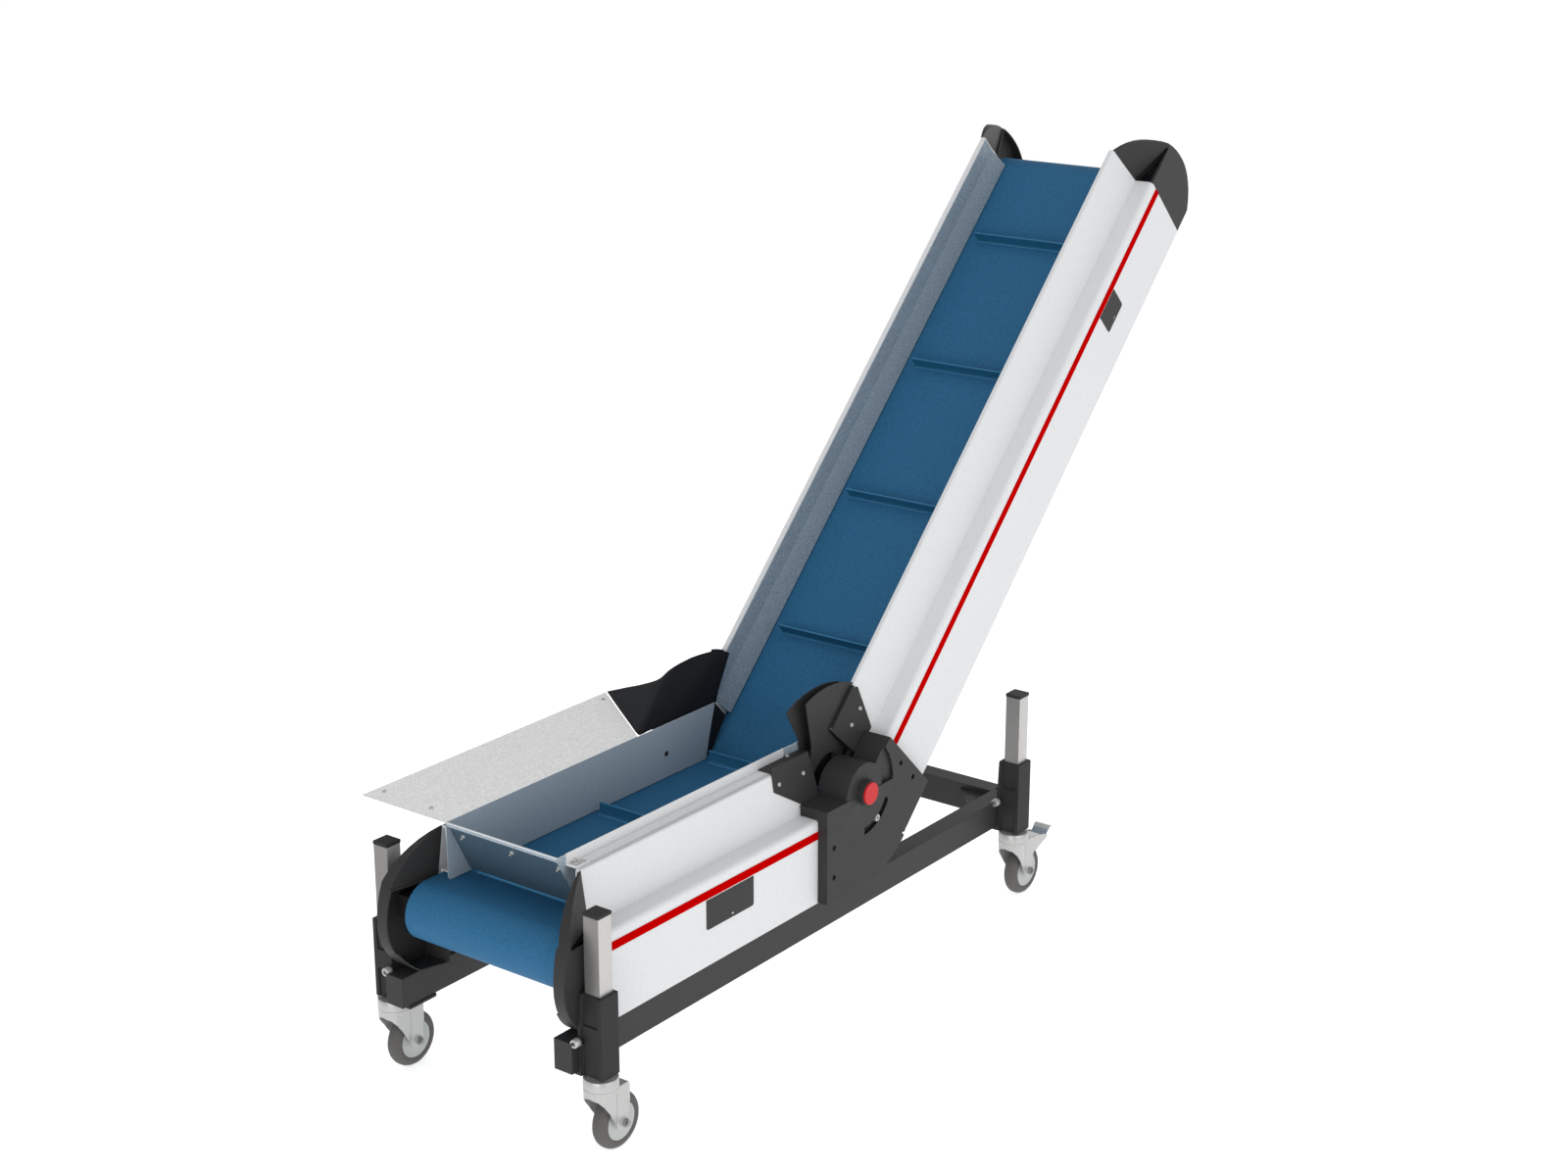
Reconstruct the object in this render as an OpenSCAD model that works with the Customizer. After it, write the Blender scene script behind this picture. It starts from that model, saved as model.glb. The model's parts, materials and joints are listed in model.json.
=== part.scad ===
// Mobile knee conveyor: a low infeed section on a wheeled frame and an inclined discharge section,
// one cleated belt running through both.
// The x axis runs from infeed to discharge, z is up from the floor, and x = 0 is the front leg tubes' axis.

/* [Layout] */
// Angle of the discharge section above the floor
knee_angle = 45; // [30:1:60]
// Length of the infeed section from the knee axis to its end cut
lower_len = 861; // [700:1:1200]
// Length of the discharge section from the knee axis to its end cut
upper_len = 1750; // [1200:10:2400]
// Distance of the knee axis behind the front leg tubes
pivot_x = 926; // [850:1:1100]
// Height of the knee axis above the underside of each section
pivot_n = 229.5; // [225:0.5:235]
// How far each side section reaches past the belt's edge
side_over = 72; // [70:1:90]
// Distance between front and rear leg tubes
wheelbase = 1563; // [1400:1:1900]

/* [Side profile] */
// Height of the broad lower chamber
chamber_h = 201; // [190:1:215]
// Full height of the side profile
side_h = 319; // [290:1:360]
// Width of the lower chamber
chamber_w = 37; // [30:1:45]
// Sheet thickness of the profile
skin = 3; // [2:0.5:4]
// How far the side walls' tops reach over the belt
top_over = 9; // [5:1:12]
// Width of the side wall at its top
top_w = 14; // [10:1:18]
// How far the side walls' feet reach over the belt
trough_over = 13; // [10:1:16]
// Width of the ledge over the lower chamber
ledge_w = 49; // [40:1:54]
// Height of the stripe's lower edge
stripe_n = 156; // [100:1:165]
// Height of the stripe
stripe_h = 19; // [10:1:25]
// How far the stripe stands out
stripe_t = 1.2; // [0.6:0.2:2]

/* [Belt] */
// Height of the belt's carrying side above the section's underside
belt_n = 210; // [205:1:212]
// Width of the belt
belt_w = 380; // [300:5:600]
// Thickness of the belt
belt_t = 3; // [2:0.5:4]
// Outer radius of the belt round the end drums
turn_r = 65; // [55:1:70]
// Distance of the tail drum's axis past the infeed cut
tail_reach = 50; // [30:1:55]
// Distance of the head drum's axis before the discharge cut
head_back = 12; // [0:1:30]
// Spacing of the cleats along the belt
cleat_pitch = 390; // [300:5:500]
// Distance of the first cleat past the knee axis
cleat_first = 343; // [250:1:380]
// Height of the cleats
cleat_h = 30; // [15:1:35]
// Thickness of the cleats
cleat_t = 5; // [3:0.5:8]
// Distance of the cleats' ends from the belt's edges
cleat_margin = 54; // [45:1:80]
// Radius of the drum shafts
shaft_r = 12.5; // [8:0.5:20]

// Distance of each belt section's open end from the knee axis
belt_start = 4; // [3:0.5:10]

/* [Frame] */
// Height of the rails' top, which carries the infeed section
deck_z = 262; // [240:1:300]
// Height of the rails
rail_h = 70; // [60:1:80]
// Width of the rails
rail_w = 48; // [40:1:60]
// Wall of the rails
rail_t = 3; // [2:0.5:5]
// Distance of the rails' front end before the front leg tubes
rail_front = 52; // [40:1:60]
// Side length of the leg tubes
leg_w = 40; // [35:1:50]
// Wall of the leg tubes
leg_t = 3; // [2:0.5:5]
// Distance of the leg tubes' axes from the side sections' outer face
leg_out = 31; // [29:0.5:36]
// Height of the caps on the leg tubes
leg_cap_h = 7.6; // [5:0.2:12]
// Travel of each leg tube
leg_travel = 150; // [100:5:160]
// How far the leg tubes stand over the holders with the legs fully out
leg_spare = 20; // [12:1:60]
// Height of the leg holders
holder_h = 182; // [150:1:200]
// Height of the leg holders' underside
holder_z = 184; // [180:1:200]
// Wall of the leg holders round the tube
holder_t = 7; // [5:0.5:10]
// Clearance of the leg tubes in the holders
leg_gap = 0.5; // [0.3:0.1:1]

/* [Castors] */
// Diameter of the wheels
wheel_d = 125; // [100:1:160]
// Width of the tyre
wheel_w = 32; // [25:1:40]
// Distance of the wheel's axis behind the swivel axis
trail = 42; // [30:1:50]
// Radius of the swivel head
head_r = 37; // [30:1:42]
// Thickness of the fork's plates
fork_t = 3; // [2:0.5:4]
// Gap between wheel and fork
fork_gap = 5; // [3:0.5:8]

/* [Hopper] */
// Distance of the upright guards from the side walls' feet
guard_gap = 24; // [20:1:30]
// Thickness of the hopper's sheet
sheet_t = 1.5; // [1:0.5:3]
// Height of the guards' top edge
hopper_z = 605; // [590:1:640]
// Width of the far flange
flange_w = 248; // [150:1:300]
// Distance of the guards' front edge before the infeed cut
guard_over = 27; // [10:1:45]
// Distance of the guards' top rear corner behind the knee axis
guard_reach = 12; // [-20:1:15]
// Distance of the far flange's rear inner corner before the knee axis
flange_cut = 270; // [200:1:320]
// Distance of the far flange's rear outer corner before the knee axis
flange_cut_out = 93; // [60:1:180]

/* [Knee] */
// How far the knee housings stand out from the side profiles
knee_proud = 26; // [20:1:35]
// Length of the knee housings along each section
knee_len = 144; // [120:1:170]
// Radius of the hub
hub_r = 68; // [55:1:75]
// Radius of the slot's middle line
slot_r = 97; // [90:1:105]
// Width of the slot
slot_w = 17; // [12:0.5:18]
// Radius of the overlapping leaves
leaf_r = 233; // [200:1:240]
// Distance of the side profiles' knee ends from the knee axis
knee_cut = 92; // [88:1:110]
// Thickness of the moulded parts
mould_t = 3; // [2:0.5:5]

/* [Hidden] */
pivot_z = deck_z + pivot_n;
white_paint = [0.88, 0.89, 0.9];
stripe_red = [0.72, 0.02, 0.02];
black_mould = [0.16, 0.16, 0.16];
frame_grey = [0.22, 0.22, 0.22];
belt_blue = [0.12, 0.35, 0.53];
bare_sheet = [0.62, 0.66, 0.7];
tube_alu = [0.78, 0.77, 0.76];
zinc_light = [0.82, 0.82, 0.82];
hub_grey = [0.8, 0.82, 0.81];
tyre_grey = [0.36, 0.35, 0.34];
big = 1000;
foot_seat = 0.3;
half_w = belt_w / 2 + side_over;
top_in = belt_w / 2 - top_over;
trough_in = belt_w / 2 - trough_over;
cleat_w = belt_w - 2 * cleat_margin;
leg_y = half_w + leg_out;
leg_top = holder_z + holder_h + leg_travel + leg_spare;
guard_in = trough_in - guard_gap;
flange_y = guard_in + flange_w;
infeed_x = pivot_x - lower_len;
guard_front = infeed_x - guard_over;
guard_rear = pivot_x + guard_reach;
flange_rear = pivot_x - flange_cut;
flange_rear_out = pivot_x - flange_cut_out;
rail_y = half_w - rail_w;
rail_past = 30;
rail_rear = wheelbase + rail_past;
drum_n = belt_n - turn_r;
ledge_in = half_w - ledge_w;

// Place children that are drawn along an arm, with x from the knee axis to its end and z from its underside
module on_lower() {
    translate([pivot_x, 0, deck_z]) mirror([1, 0, 0]) children();
}
module on_upper() {
    translate([pivot_x, 0, pivot_z]) rotate([0, -knee_angle, 0]) translate([0, 0, -pivot_n]) children();
}
// Draw children on the near side of the middle plane, or on both sides
module near_side() {
    mirror([0, 1, 0]) children();
}
// Extrude an outline drawn in y and z along x
module along_x(x0, x1) {
    translate([x0, 0, 0]) rotate([90, 0, 90]) linear_extrude(height = x1 - x0) children();
}
// Extrude an outline drawn in x and z along y
module along_y(y0, y1) {
    translate([0, y1, 0]) rotate([90, 0, 0]) linear_extrude(height = y1 - y0) children();
}
function arc(r, a0, a1, n) = [for (i = [0:n]) let (a = a0 + (a1 - a0) * i / n) [r * cos(a), r * sin(a)]];
function moved(pts, d) = [for (p = pts) p + d];

// Frame
module rail() {
    difference() {
        translate([-rail_front, rail_y, deck_z - rail_h]) cube([rail_rear + rail_front, rail_w, rail_h]);
        translate([-rail_front + rail_t, rail_y + rail_t, deck_z - rail_h + rail_t])
            cube([rail_rear + rail_front - 2 * rail_t, rail_w - 2 * rail_t, rail_h - 2 * rail_t]);
    }
}
module rail_near() {
    color(frame_grey) near_side() rail();
}
module rail_far() {
    color(frame_grey) rail();
}
bar_back = 14;
bar_x = wheelbase + bar_back;
bar_w = 48;
corner_drop = 20;
corner_share = 0.55;
corner_t = 6;
corner_l = 90;
corner_hole_r = 3.5;
corner_holes = [30, 60];
module crossbar() {
    color(frame_grey) {
        difference() {
            translate([bar_x, -rail_y, deck_z - rail_h]) cube([bar_w, 2 * rail_y, rail_h]);
            translate([bar_x + rail_t, -rail_y - 1, deck_z - rail_h + rail_t])
                cube([bar_w - 2 * rail_t, 2 * rail_y + 2, rail_h - 2 * rail_t]);
        }
        for (side = [0, 1]) mirror([0, side, 0]) difference() {
            translate([bar_x - corner_l, rail_y - corner_l, deck_z - corner_drop])
                linear_extrude(height = corner_t)
                    polygon([[0, corner_l], [corner_l, corner_l], [corner_l, 0]]);
            for (d = corner_holes)
                translate([bar_x, rail_y, deck_z - corner_drop - 1] - corner_share * [d, corner_l - d, 0])
                    cylinder(h = corner_t + 2, r = corner_hole_r, $fn = 32);
        }
    }
}

// A holder clamps the leg tube beside the rail's end and cradles the rail
holder_in = leg_w / 2 + leg_gap;
holder_out = holder_in + holder_t;
cradle_t = 8;
cradle_l = 80;
cradle_under = 2;
boss_h = 44;
groove_t = 4;
cheek_t = 8;
cheek_lip = 6;
cheek_seat = 0.2;
module holder() {
    difference() {
        union() {
            difference() {
                translate([-holder_out, leg_y - holder_out + foot_seat, holder_z])
                    cube([2 * holder_out, 2 * holder_out - foot_seat, holder_h]);
                for (z0 = [holder_z - 1, holder_z + holder_h / 2 + boss_h / 2])
                    translate([-holder_out - 1, leg_y - holder_in, z0])
                        cube([groove_t + 1, 2 * holder_in - groove_t, holder_h / 2 - boss_h / 2 + 1]);
            }
            along_y(half_w + cheek_seat, half_w + cheek_seat + cheek_t) polygon([
                [-holder_out - cheek_lip, holder_z], [holder_out, holder_z],
                [holder_out, holder_z + holder_h], [-holder_out, holder_z + holder_h],
                [-holder_out - cheek_lip, holder_z + holder_h / 2]
            ]);
            translate([-holder_out - cheek_lip, rail_y - cradle_under, deck_z - rail_h - cradle_t])
                cube([cradle_l, half_w - rail_y + cradle_under + cheek_t - 2, cradle_t]);
        }
        translate([-holder_in, leg_y - holder_in, holder_z - 1])
            cube([2 * holder_in, 2 * holder_in, holder_h + 2]);
    }
}
module holder_at(x0, side) {
    color(black_mould) translate([x0, 0, 0]) mirror([0, side, 0]) holder();
}
module leg(x0, side) {
    color(tube_alu) translate([x0, 0, 0]) mirror([0, side, 0]) difference() {
        translate([-leg_w / 2, leg_y - leg_w / 2, foot_top])
            cube([leg_w, leg_w, leg_top - foot_top]);
        translate([-leg_w / 2 + leg_t, leg_y - leg_w / 2 + leg_t, foot_top - 1])
            cube([leg_w - 2 * leg_t, leg_w - 2 * leg_t, leg_top - foot_top + 2]);
    }
}
cap_over = 0.8;
cap_bevel = 2;
plug_gap = 0.2;
plug_len = 12;
plug_w = leg_w - 2 * (leg_t + plug_gap);
module leg_cap(x0, side) {
    color(black_mould) translate([x0, 0, 0]) mirror([0, side, 0]) {
        difference() {
            translate([-leg_w / 2 - cap_over, leg_y - leg_w / 2 - cap_over, leg_top])
                cube([leg_w + 2 * cap_over, leg_w + 2 * cap_over, leg_cap_h]);
            for (q = [0:3]) translate([0, leg_y, leg_top + leg_cap_h]) rotate([0, 0, 90 * q])
                translate([leg_w / 2 + cap_over, -big / 2, 0]) rotate([0, 45, 0])
                    cube([cap_bevel, big, cap_bevel]);
        }
        translate([-plug_w / 2, leg_y - plug_w / 2, leg_top - plug_len])
            cube([plug_w, plug_w, plug_len + 1]);
    }
}

// Castors: a fork on a swivel head under each leg tube
wheel_r = wheel_d / 2;
head_z = 150;
head_h = 30;
foot_top = head_z + head_h;
fork_in = wheel_w / 2 + fork_gap;
axle_r = 6;
axle_past = 5;
fork_front = head_r - 4;
fork_side = 18;
fork_back = [[26, -26], [10, 0]];
fork_plate_t = 4;
lug_r = 16;
pedal_w = 34;
// Outline of the brake pedal behind the wheel's axis and about the swivel head's underside
pedal_outline = [[0, -4], [34, 2], [48, 22], [64, 26], [65, 29], [46, 25], [31, 6], [0, 0]];
module fork(x0, side, pedal) {
    color(zinc_light) translate([x0, 0, 0]) mirror([0, side, 0]) translate([0, leg_y, 0]) {
        translate([0, 0, head_z]) cylinder(h = head_h, r = head_r, $fn = 64);
        for (s = [-1, 1]) scale([1, s, 1]) along_y(fork_in, fork_in + fork_t) polygon(concat(
            [[-fork_front, head_z], [-fork_front, head_z - fork_side]],
            moved(arc(lug_r, 200, 350, 10), [trail, wheel_r]),
            moved(fork_back, [trail, head_z])
        ));
        translate([-fork_front, -fork_in - fork_t, head_z - fork_plate_t])
            cube([fork_front + trail + fork_plate_t + 4, 2 * (fork_in + fork_t), fork_plate_t + 0.5]);
        translate([trail, 0, wheel_r]) rotate([90, 0, 0])
            cylinder(h = 2 * (fork_in + fork_t + axle_past), r = axle_r, center = true, $fn = 32);
        if (pedal)
            along_y(-pedal_w / 2, pedal_w / 2) polygon(moved(pedal_outline, [trail, head_z]));
    }
}
tread_t = 14;
bore_gap = 0.08;
barrel_r = 18;
web_r = 20;
web_in = 3;
rim_in = 5;
tyre_edge = 10;
module hub(x0, side) {
    color(hub_grey) translate([x0 + trail, 0, wheel_r]) mirror([0, side, 0]) translate([0, leg_y, 0])
        rotate([90, 0, 0]) rotate_extrude($fn = 96) polygon([
            [axle_r + bore_gap, -wheel_w / 2 - web_in], [barrel_r, -wheel_w / 2 - web_in],
            [web_r, -wheel_w / 2 + web_in], [wheel_r - tread_t - rim_in, -wheel_w / 2 + web_in],
            [wheel_r - tread_t, -wheel_w / 2 + 1], [wheel_r - tread_t, wheel_w / 2 - 1],
            [wheel_r - tread_t - rim_in, wheel_w / 2 - web_in], [web_r, wheel_w / 2 - web_in],
            [barrel_r, wheel_w / 2 + web_in], [axle_r + bore_gap, wheel_w / 2 + web_in]
        ]);
}
module tyre(x0, side) {
    color(tyre_grey) translate([x0 + trail, 0, wheel_r]) mirror([0, side, 0]) translate([0, leg_y, 0])
        rotate([90, 0, 0]) rotate_extrude($fn = 96) polygon(concat(
            [[wheel_r - tread_t, -wheel_w / 2 + 1], [wheel_r - tread_t + 3, -wheel_w / 2]],
            moved(arc(tyre_edge, -90, 0, 8), [wheel_r - tyre_edge, -wheel_w / 2 + tyre_edge]),
            moved(arc(tyre_edge, 0, 90, 8), [wheel_r - tyre_edge, wheel_w / 2 - tyre_edge]),
            [[wheel_r - tread_t + 3, wheel_w / 2], [wheel_r - tread_t, wheel_w / 2 - 1]]
        ));
}

// Side profiles
edge_r = 10;
lip_n = 48;
foot_n = 58;
pocket_y = ledge_in - 15;
pocket_drop = 8;
under_wall = 3;
side_outline = concat(
    [[half_w - chamber_w, 0], [half_w, 0]],
    moved(arc(edge_r, 0, 90, 6), [half_w - edge_r, chamber_h - edge_r]),
    [[ledge_in, chamber_h], [top_in + top_w, side_h - 3], [top_in + top_w - 3, side_h],
     [top_in + 2, side_h], [top_in, side_h - 3], [top_in - 1, side_h - lip_n],
     [trough_in, side_h - foot_n], [trough_in, belt_n + under_wall], [pocket_y, belt_n + under_wall],
     [pocket_y, chamber_h - pocket_drop], [half_w - chamber_w, chamber_h - pocket_drop]]
);
chamber_hole = [
    [half_w - chamber_w + skin, skin], [half_w - skin, skin], [half_w - skin, chamber_h - edge_r],
    [half_w - edge_r, chamber_h - skin], [half_w - chamber_w + skin, chamber_h - skin]
];
wall_hole = [
    [pocket_y + skin, chamber_h - 5], [ledge_in - skin, chamber_h + 2], [top_in + top_w - skin, side_h - 5],
    [top_in + skin, side_h - 5], [trough_in + skin, side_h - foot_n],
    [trough_in + skin, belt_n + under_wall + skin], [pocket_y + skin, belt_n + under_wall + skin]
];
module side_profile(len, shaft_s) {
    difference() {
        along_x(knee_cut, len) difference() {
            polygon(side_outline);
            polygon(chamber_hole);
            polygon(wall_hole);
        }
        along_y(half_w - chamber_w - 1, half_w - chamber_w + skin + 1) translate([shaft_s, drum_n]) {
            circle(r = shaft_r + 1, $fn = 48);
            translate([0, -shaft_r - 1]) square([len, 2 * shaft_r + 2]);
        }
    }
}
module stripe(len) {
    translate([knee_len, half_w, stripe_n]) cube([len - knee_len, stripe_t, stripe_h]);
}
module side_lower_near() {
    color(white_paint) near_side() on_lower() side_profile(lower_len, lower_end);
}
module side_lower_far() {
    color(white_paint) on_lower() side_profile(lower_len, lower_end);
}
module side_upper_near() {
    color(white_paint) near_side() on_upper() side_profile(upper_len, upper_end);
}
module side_upper_far() {
    color(white_paint) on_upper() side_profile(upper_len, upper_end);
}
module stripes_lower() {
    color(stripe_red) for (side = [0, 1]) mirror([0, side, 0]) on_lower() stripe(lower_len);
}
module stripes_upper() {
    color(stripe_red) for (side = [0, 1]) mirror([0, side, 0]) on_upper() stripe(upper_len);
}
// Hatches on the near side: distance of the start before the arm's end, length, low edge and height
hatch_of_lower = [481, 163, 84, 69];
hatch_of_upper = [381, 87, 89, 64];
hatch_t = 1.5;
hatch_corner = 6;
latch = [9, 4];
latch_at = [0.42, 6];
module hatch(arm_len, sizes) {
    s0 = arm_len - sizes[0];
    len = sizes[1];
    n0 = sizes[2];
    h = sizes[3];
    along_y(half_w, half_w + hatch_t) difference() {
        union() {
            translate([s0, n0 + hatch_corner]) square([len, h - hatch_corner]);
            translate([s0 + hatch_corner, n0]) square([len - 2 * hatch_corner, h]);
            for (c = [s0 + hatch_corner, s0 + len - hatch_corner])
                translate([c, n0 + hatch_corner]) circle(r = hatch_corner, $fn = 32);
        }
        translate([s0 + len * latch_at[0], n0 + latch_at[1]]) square(latch);
    }
}
module hatch_lower() {
    color(black_mould) near_side() on_lower() hatch(lower_len, hatch_of_lower);
}
module hatch_upper() {
    color(black_mould) near_side() on_upper() hatch(upper_len, hatch_of_upper);
}

// The bed under the belt is a hat section between the side profiles
bed_in = belt_w / 2 + 2;
bed_drop = 32;
bed_n = belt_n - belt_t - 0.2;
module bed(s0, s1) {
    color(bare_sheet) for (side = [0, 1]) mirror([0, side, 0]) along_x(s0, s1) polygon([
        [0, bed_n - skin], [0, bed_n], [bed_in + skin, bed_n],
        [bed_in + skin, bed_n - bed_drop + skin], [half_w - chamber_w, bed_n - bed_drop + skin],
        [half_w - chamber_w, bed_n - bed_drop], [bed_in, bed_n - bed_drop], [bed_in, bed_n - skin]
    ]);
}
bed_gap = 22;
module bed_lower() {
    on_lower() bed(knee_cut, lower_len + tail_reach - bed_gap);
}
module bed_upper() {
    on_upper() bed(knee_cut, upper_len - head_back - bed_gap);
}

// Belt: both strands from the knee and the turn round the drum, with the cleats standing on it
module strands(end_s) {
    along_y(-belt_w / 2, belt_w / 2) difference() {
        union() {
            translate([belt_start, drum_n - turn_r]) square([end_s - belt_start, 2 * turn_r]);
            translate([end_s, drum_n]) circle(r = turn_r, $fn = 96);
        }
        union() {
            translate([belt_start - 1, drum_n - turn_r + belt_t])
                square([end_s - belt_start + 1, 2 * (turn_r - belt_t)]);
            translate([end_s, drum_n]) circle(r = turn_r - belt_t, $fn = 96);
        }
    }
}
cleat_seat = 0.5;
cleat_foot = 4;
module cleat() {
    along_y(-cleat_w / 2, cleat_w / 2) polygon([
        [-cleat_t, -cleat_seat], [cleat_t, -cleat_seat], [cleat_t / 2, cleat_foot], [cleat_t / 2, cleat_h],
        [-cleat_t / 2, cleat_h], [-cleat_t / 2, cleat_foot]
    ]);
}
turn_len = PI * turn_r;
// Stand a cleat at a distance along the belt's outer path from the knee
module cleat_at(path, end_s) {
    turned = path - end_s;
    if (path <= end_s)
        translate([path, 0, belt_n]) cleat();
    else if (turned <= turn_len)
        translate([end_s, 0, drum_n]) rotate([0, turned / turn_r * 180 / PI, 0])
            translate([0, 0, turn_r]) cleat();
    else
        translate([end_s - (turned - turn_len), 0, drum_n - turn_r]) rotate([0, 180, 0]) cleat();
}
function loop_len(end_s) = 2 * end_s + turn_len;
lower_end = lower_len + tail_reach;
upper_end = upper_len - head_back;
knee_short = 15;
lower_first = cleat_pitch - cleat_first - knee_short;
knee_clear = 25;
module belt_arm(end_s, first) {
    color(belt_blue) {
        strands(end_s);
        for (path = [first:cleat_pitch:loop_len(end_s) - knee_clear]) cleat_at(path, end_s);
    }
}
module belt_lower() {
    on_lower() belt_arm(lower_end, lower_first);
}
module belt_upper() {
    on_upper() belt_arm(upper_end, cleat_first);
}
// Drums on their shafts, carried by a block in each lower chamber
block_h = 50;
block_back = 70;
block_fwd = 24;
module drum(end_s) {
    color(zinc_light) translate([end_s, 0, drum_n]) {
        rotate([90, 0, 0])
            cylinder(h = belt_w + 4, r = turn_r - belt_t - foot_seat, center = true, $fn = 96);
        for (side = [-1, 1]) scale([1, side, 1]) {
            translate([0, belt_w / 2, 0]) rotate([-90, 0, 0])
                cylinder(h = half_w - skin - 6 - belt_w / 2, r = shaft_r, $fn = 48);
            translate([-block_back, half_w - chamber_w + skin + foot_seat, -block_h / 2])
                cube([block_back + block_fwd, chamber_w - skin - cap_t - 2 * foot_seat, block_h]);
        }
    }
}
module tail_drum() {
    on_lower() drum(lower_end);
}
module head_drum() {
    on_upper() drum(upper_end);
}

// Underside pans between the lower chambers
pan_t = 2;
pan_n = 2;
pan_start = 45;
pan_short = 85;
module pan(s0, s1) {
    color(white_paint) translate([s0, -(half_w - chamber_w), pan_n])
        cube([s1 - s0, 2 * (half_w - chamber_w), pan_t]);
}
module pan_lower() {
    on_lower() pan(0, lower_len - pan_short);
}
module pan_upper() {
    on_upper() pan(pan_start, upper_len - pan_short);
}

// End caps: a D shaped nose whose upper wall sweeps from the side wall out to the chamber's face
cap_t = 4;
nose_c = [-60, 120];
nose_a = 195;
nose_up = 209;
nose_low = 157;
sweep_in = 0.22;
sweep_out = 0.444;
sweep_reach = 220;
sweep_lean = (top_in + top_w - ledge_in) / (side_h - chamber_h);
function nose(inset, steps) = concat(
    [for (i = [0:steps]) let (a = -90 + 90 * i / steps)
        nose_c + [(nose_a - inset) * cos(a), (nose_low - inset) * sin(a)]],
    [for (i = [1:steps]) let (a = 90 * i / steps)
        nose_c + [(nose_a - inset) * cos(a), (nose_up - inset) * sin(a)]]
);
function sweep_y(s, n, off, slope) = ledge_in - off + sweep_lean * (n - chamber_h) + slope * s;
// The part of space outside the sweeping wall
module beyond_sweep(off, slope, n0, n1) {
    ends = [for (s = [-sweep_reach, sweep_reach]) for (n = [n0, n1]) [s, sweep_y(s, n, off, slope), n]];
    outer = [for (p = ends) [p[0], 2 * half_w, p[2]]];
    polyhedron(points = concat(ends, outer), faces = [
        [0, 1, 3, 2], [4, 6, 7, 5], [0, 4, 5, 1], [2, 3, 7, 6], [0, 2, 6, 4], [1, 5, 7, 3]
    ]);
}
module nose_block(inset, y0, y1, s0, n0, n1) {
    intersection() {
        along_y(y0, y1) polygon(nose(inset, 14));
        translate([s0, y0 - 1, n0]) cube([300, y1 - y0 + 2, n1 - n0]);
    }
}
rim_depth = 58;
rim_slope = 0.22;
rim_end = 150;
tray_depth = 73;
tray_slope = 0.3;
tray_n = 56;
// A rim from the outer face inwards, less deep towards the nose
module rim(depth, slope, n1) {
    difference() {
        intersection() {
            nose_block(0, half_w - depth, half_w, 0, 0, n1);
            linear_extrude(height = side_h) polygon([
                [-1, half_w - depth], [rim_end, half_w - depth + slope * rim_end],
                [rim_end, half_w], [-1, half_w]
            ]);
        }
        nose_block(cap_t, half_w - depth - 1, half_w - cap_t, -1, cap_t, chamber_h - cap_t);
    }
}
module end_cap(len) {
    color(black_mould) translate([len, 0, 0]) {
        difference() {
            intersection() {
                nose_block(0, top_in, half_w, 0, chamber_h - cap_t / 2, side_h);
                beyond_sweep(cap_t, sweep_in, 0, side_h + 10);
            }
            beyond_sweep(0, sweep_out, chamber_h, side_h + 20);
        }
        rim(rim_depth, rim_slope, chamber_h);
        rim(tray_depth, tray_slope, tray_n);
    }
}
module tail_cap_near() {
    near_side() on_lower() end_cap(lower_len);
}
module tail_cap_far() {
    on_lower() end_cap(lower_len);
}
module head_cap_near() {
    near_side() on_upper() end_cap(upper_len);
}
module head_cap_far() {
    on_upper() end_cap(upper_len);
}

// Hopper: upright guards on both sides, a flange on the far one, and a slanted front plate
guard_z = deck_z + belt_n + 2;
guard_corner = 8;
plate_run = 68;
plate_foot = 6;
plate_fold = 8;
strip_short = 101;
strip_edge = 4;
guard_tail = [[guard_rear - 35, guard_z], [guard_rear - 23, guard_z + 50], [guard_rear, hopper_z]];
guard_far_outline = concat(
    [[guard_front, hopper_z]],
    moved(arc(guard_corner, 180, 270, 6), [guard_front + guard_corner, guard_z + guard_corner]),
    guard_tail
);
guard_near_outline = concat(
    [[guard_front, hopper_z], [guard_front, hopper_z - plate_fold], [guard_front + plate_run, guard_z]],
    guard_tail
);
module guard(outline) {
    along_y(guard_in, guard_in + sheet_t) polygon(outline);
    translate([infeed_x, guard_in, deck_z + side_h])
        cube([lower_len - strip_short, wall_y - guard_in - strip_edge, sheet_t]);
}
module guard_near() {
    color(bare_sheet) near_side() guard(guard_near_outline);
}
module guard_far() {
    color(bare_sheet) {
        guard(guard_far_outline);
        translate([0, 0, hopper_z]) linear_extrude(height = sheet_t) polygon([
            [guard_front, guard_in], [guard_front, flange_y],
            [flange_rear_out, flange_y], [flange_rear, guard_in]
        ]);
    }
}
module hopper_front() {
    color(bare_sheet) along_y(-guard_in + foot_seat, guard_in - foot_seat) polygon([
        [guard_front, hopper_z - plate_fold], [guard_front, hopper_z], [guard_front + 4, hopper_z],
        [guard_front + plate_run, guard_z + plate_foot],
        [guard_front + plate_run - 2, guard_z + plate_foot - 1],
        [guard_front + 3, hopper_z - 2], [guard_front + sheet_t, hopper_z - 2],
        [guard_front + sheet_t, hopper_z - plate_fold]
    ]);
}

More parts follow.
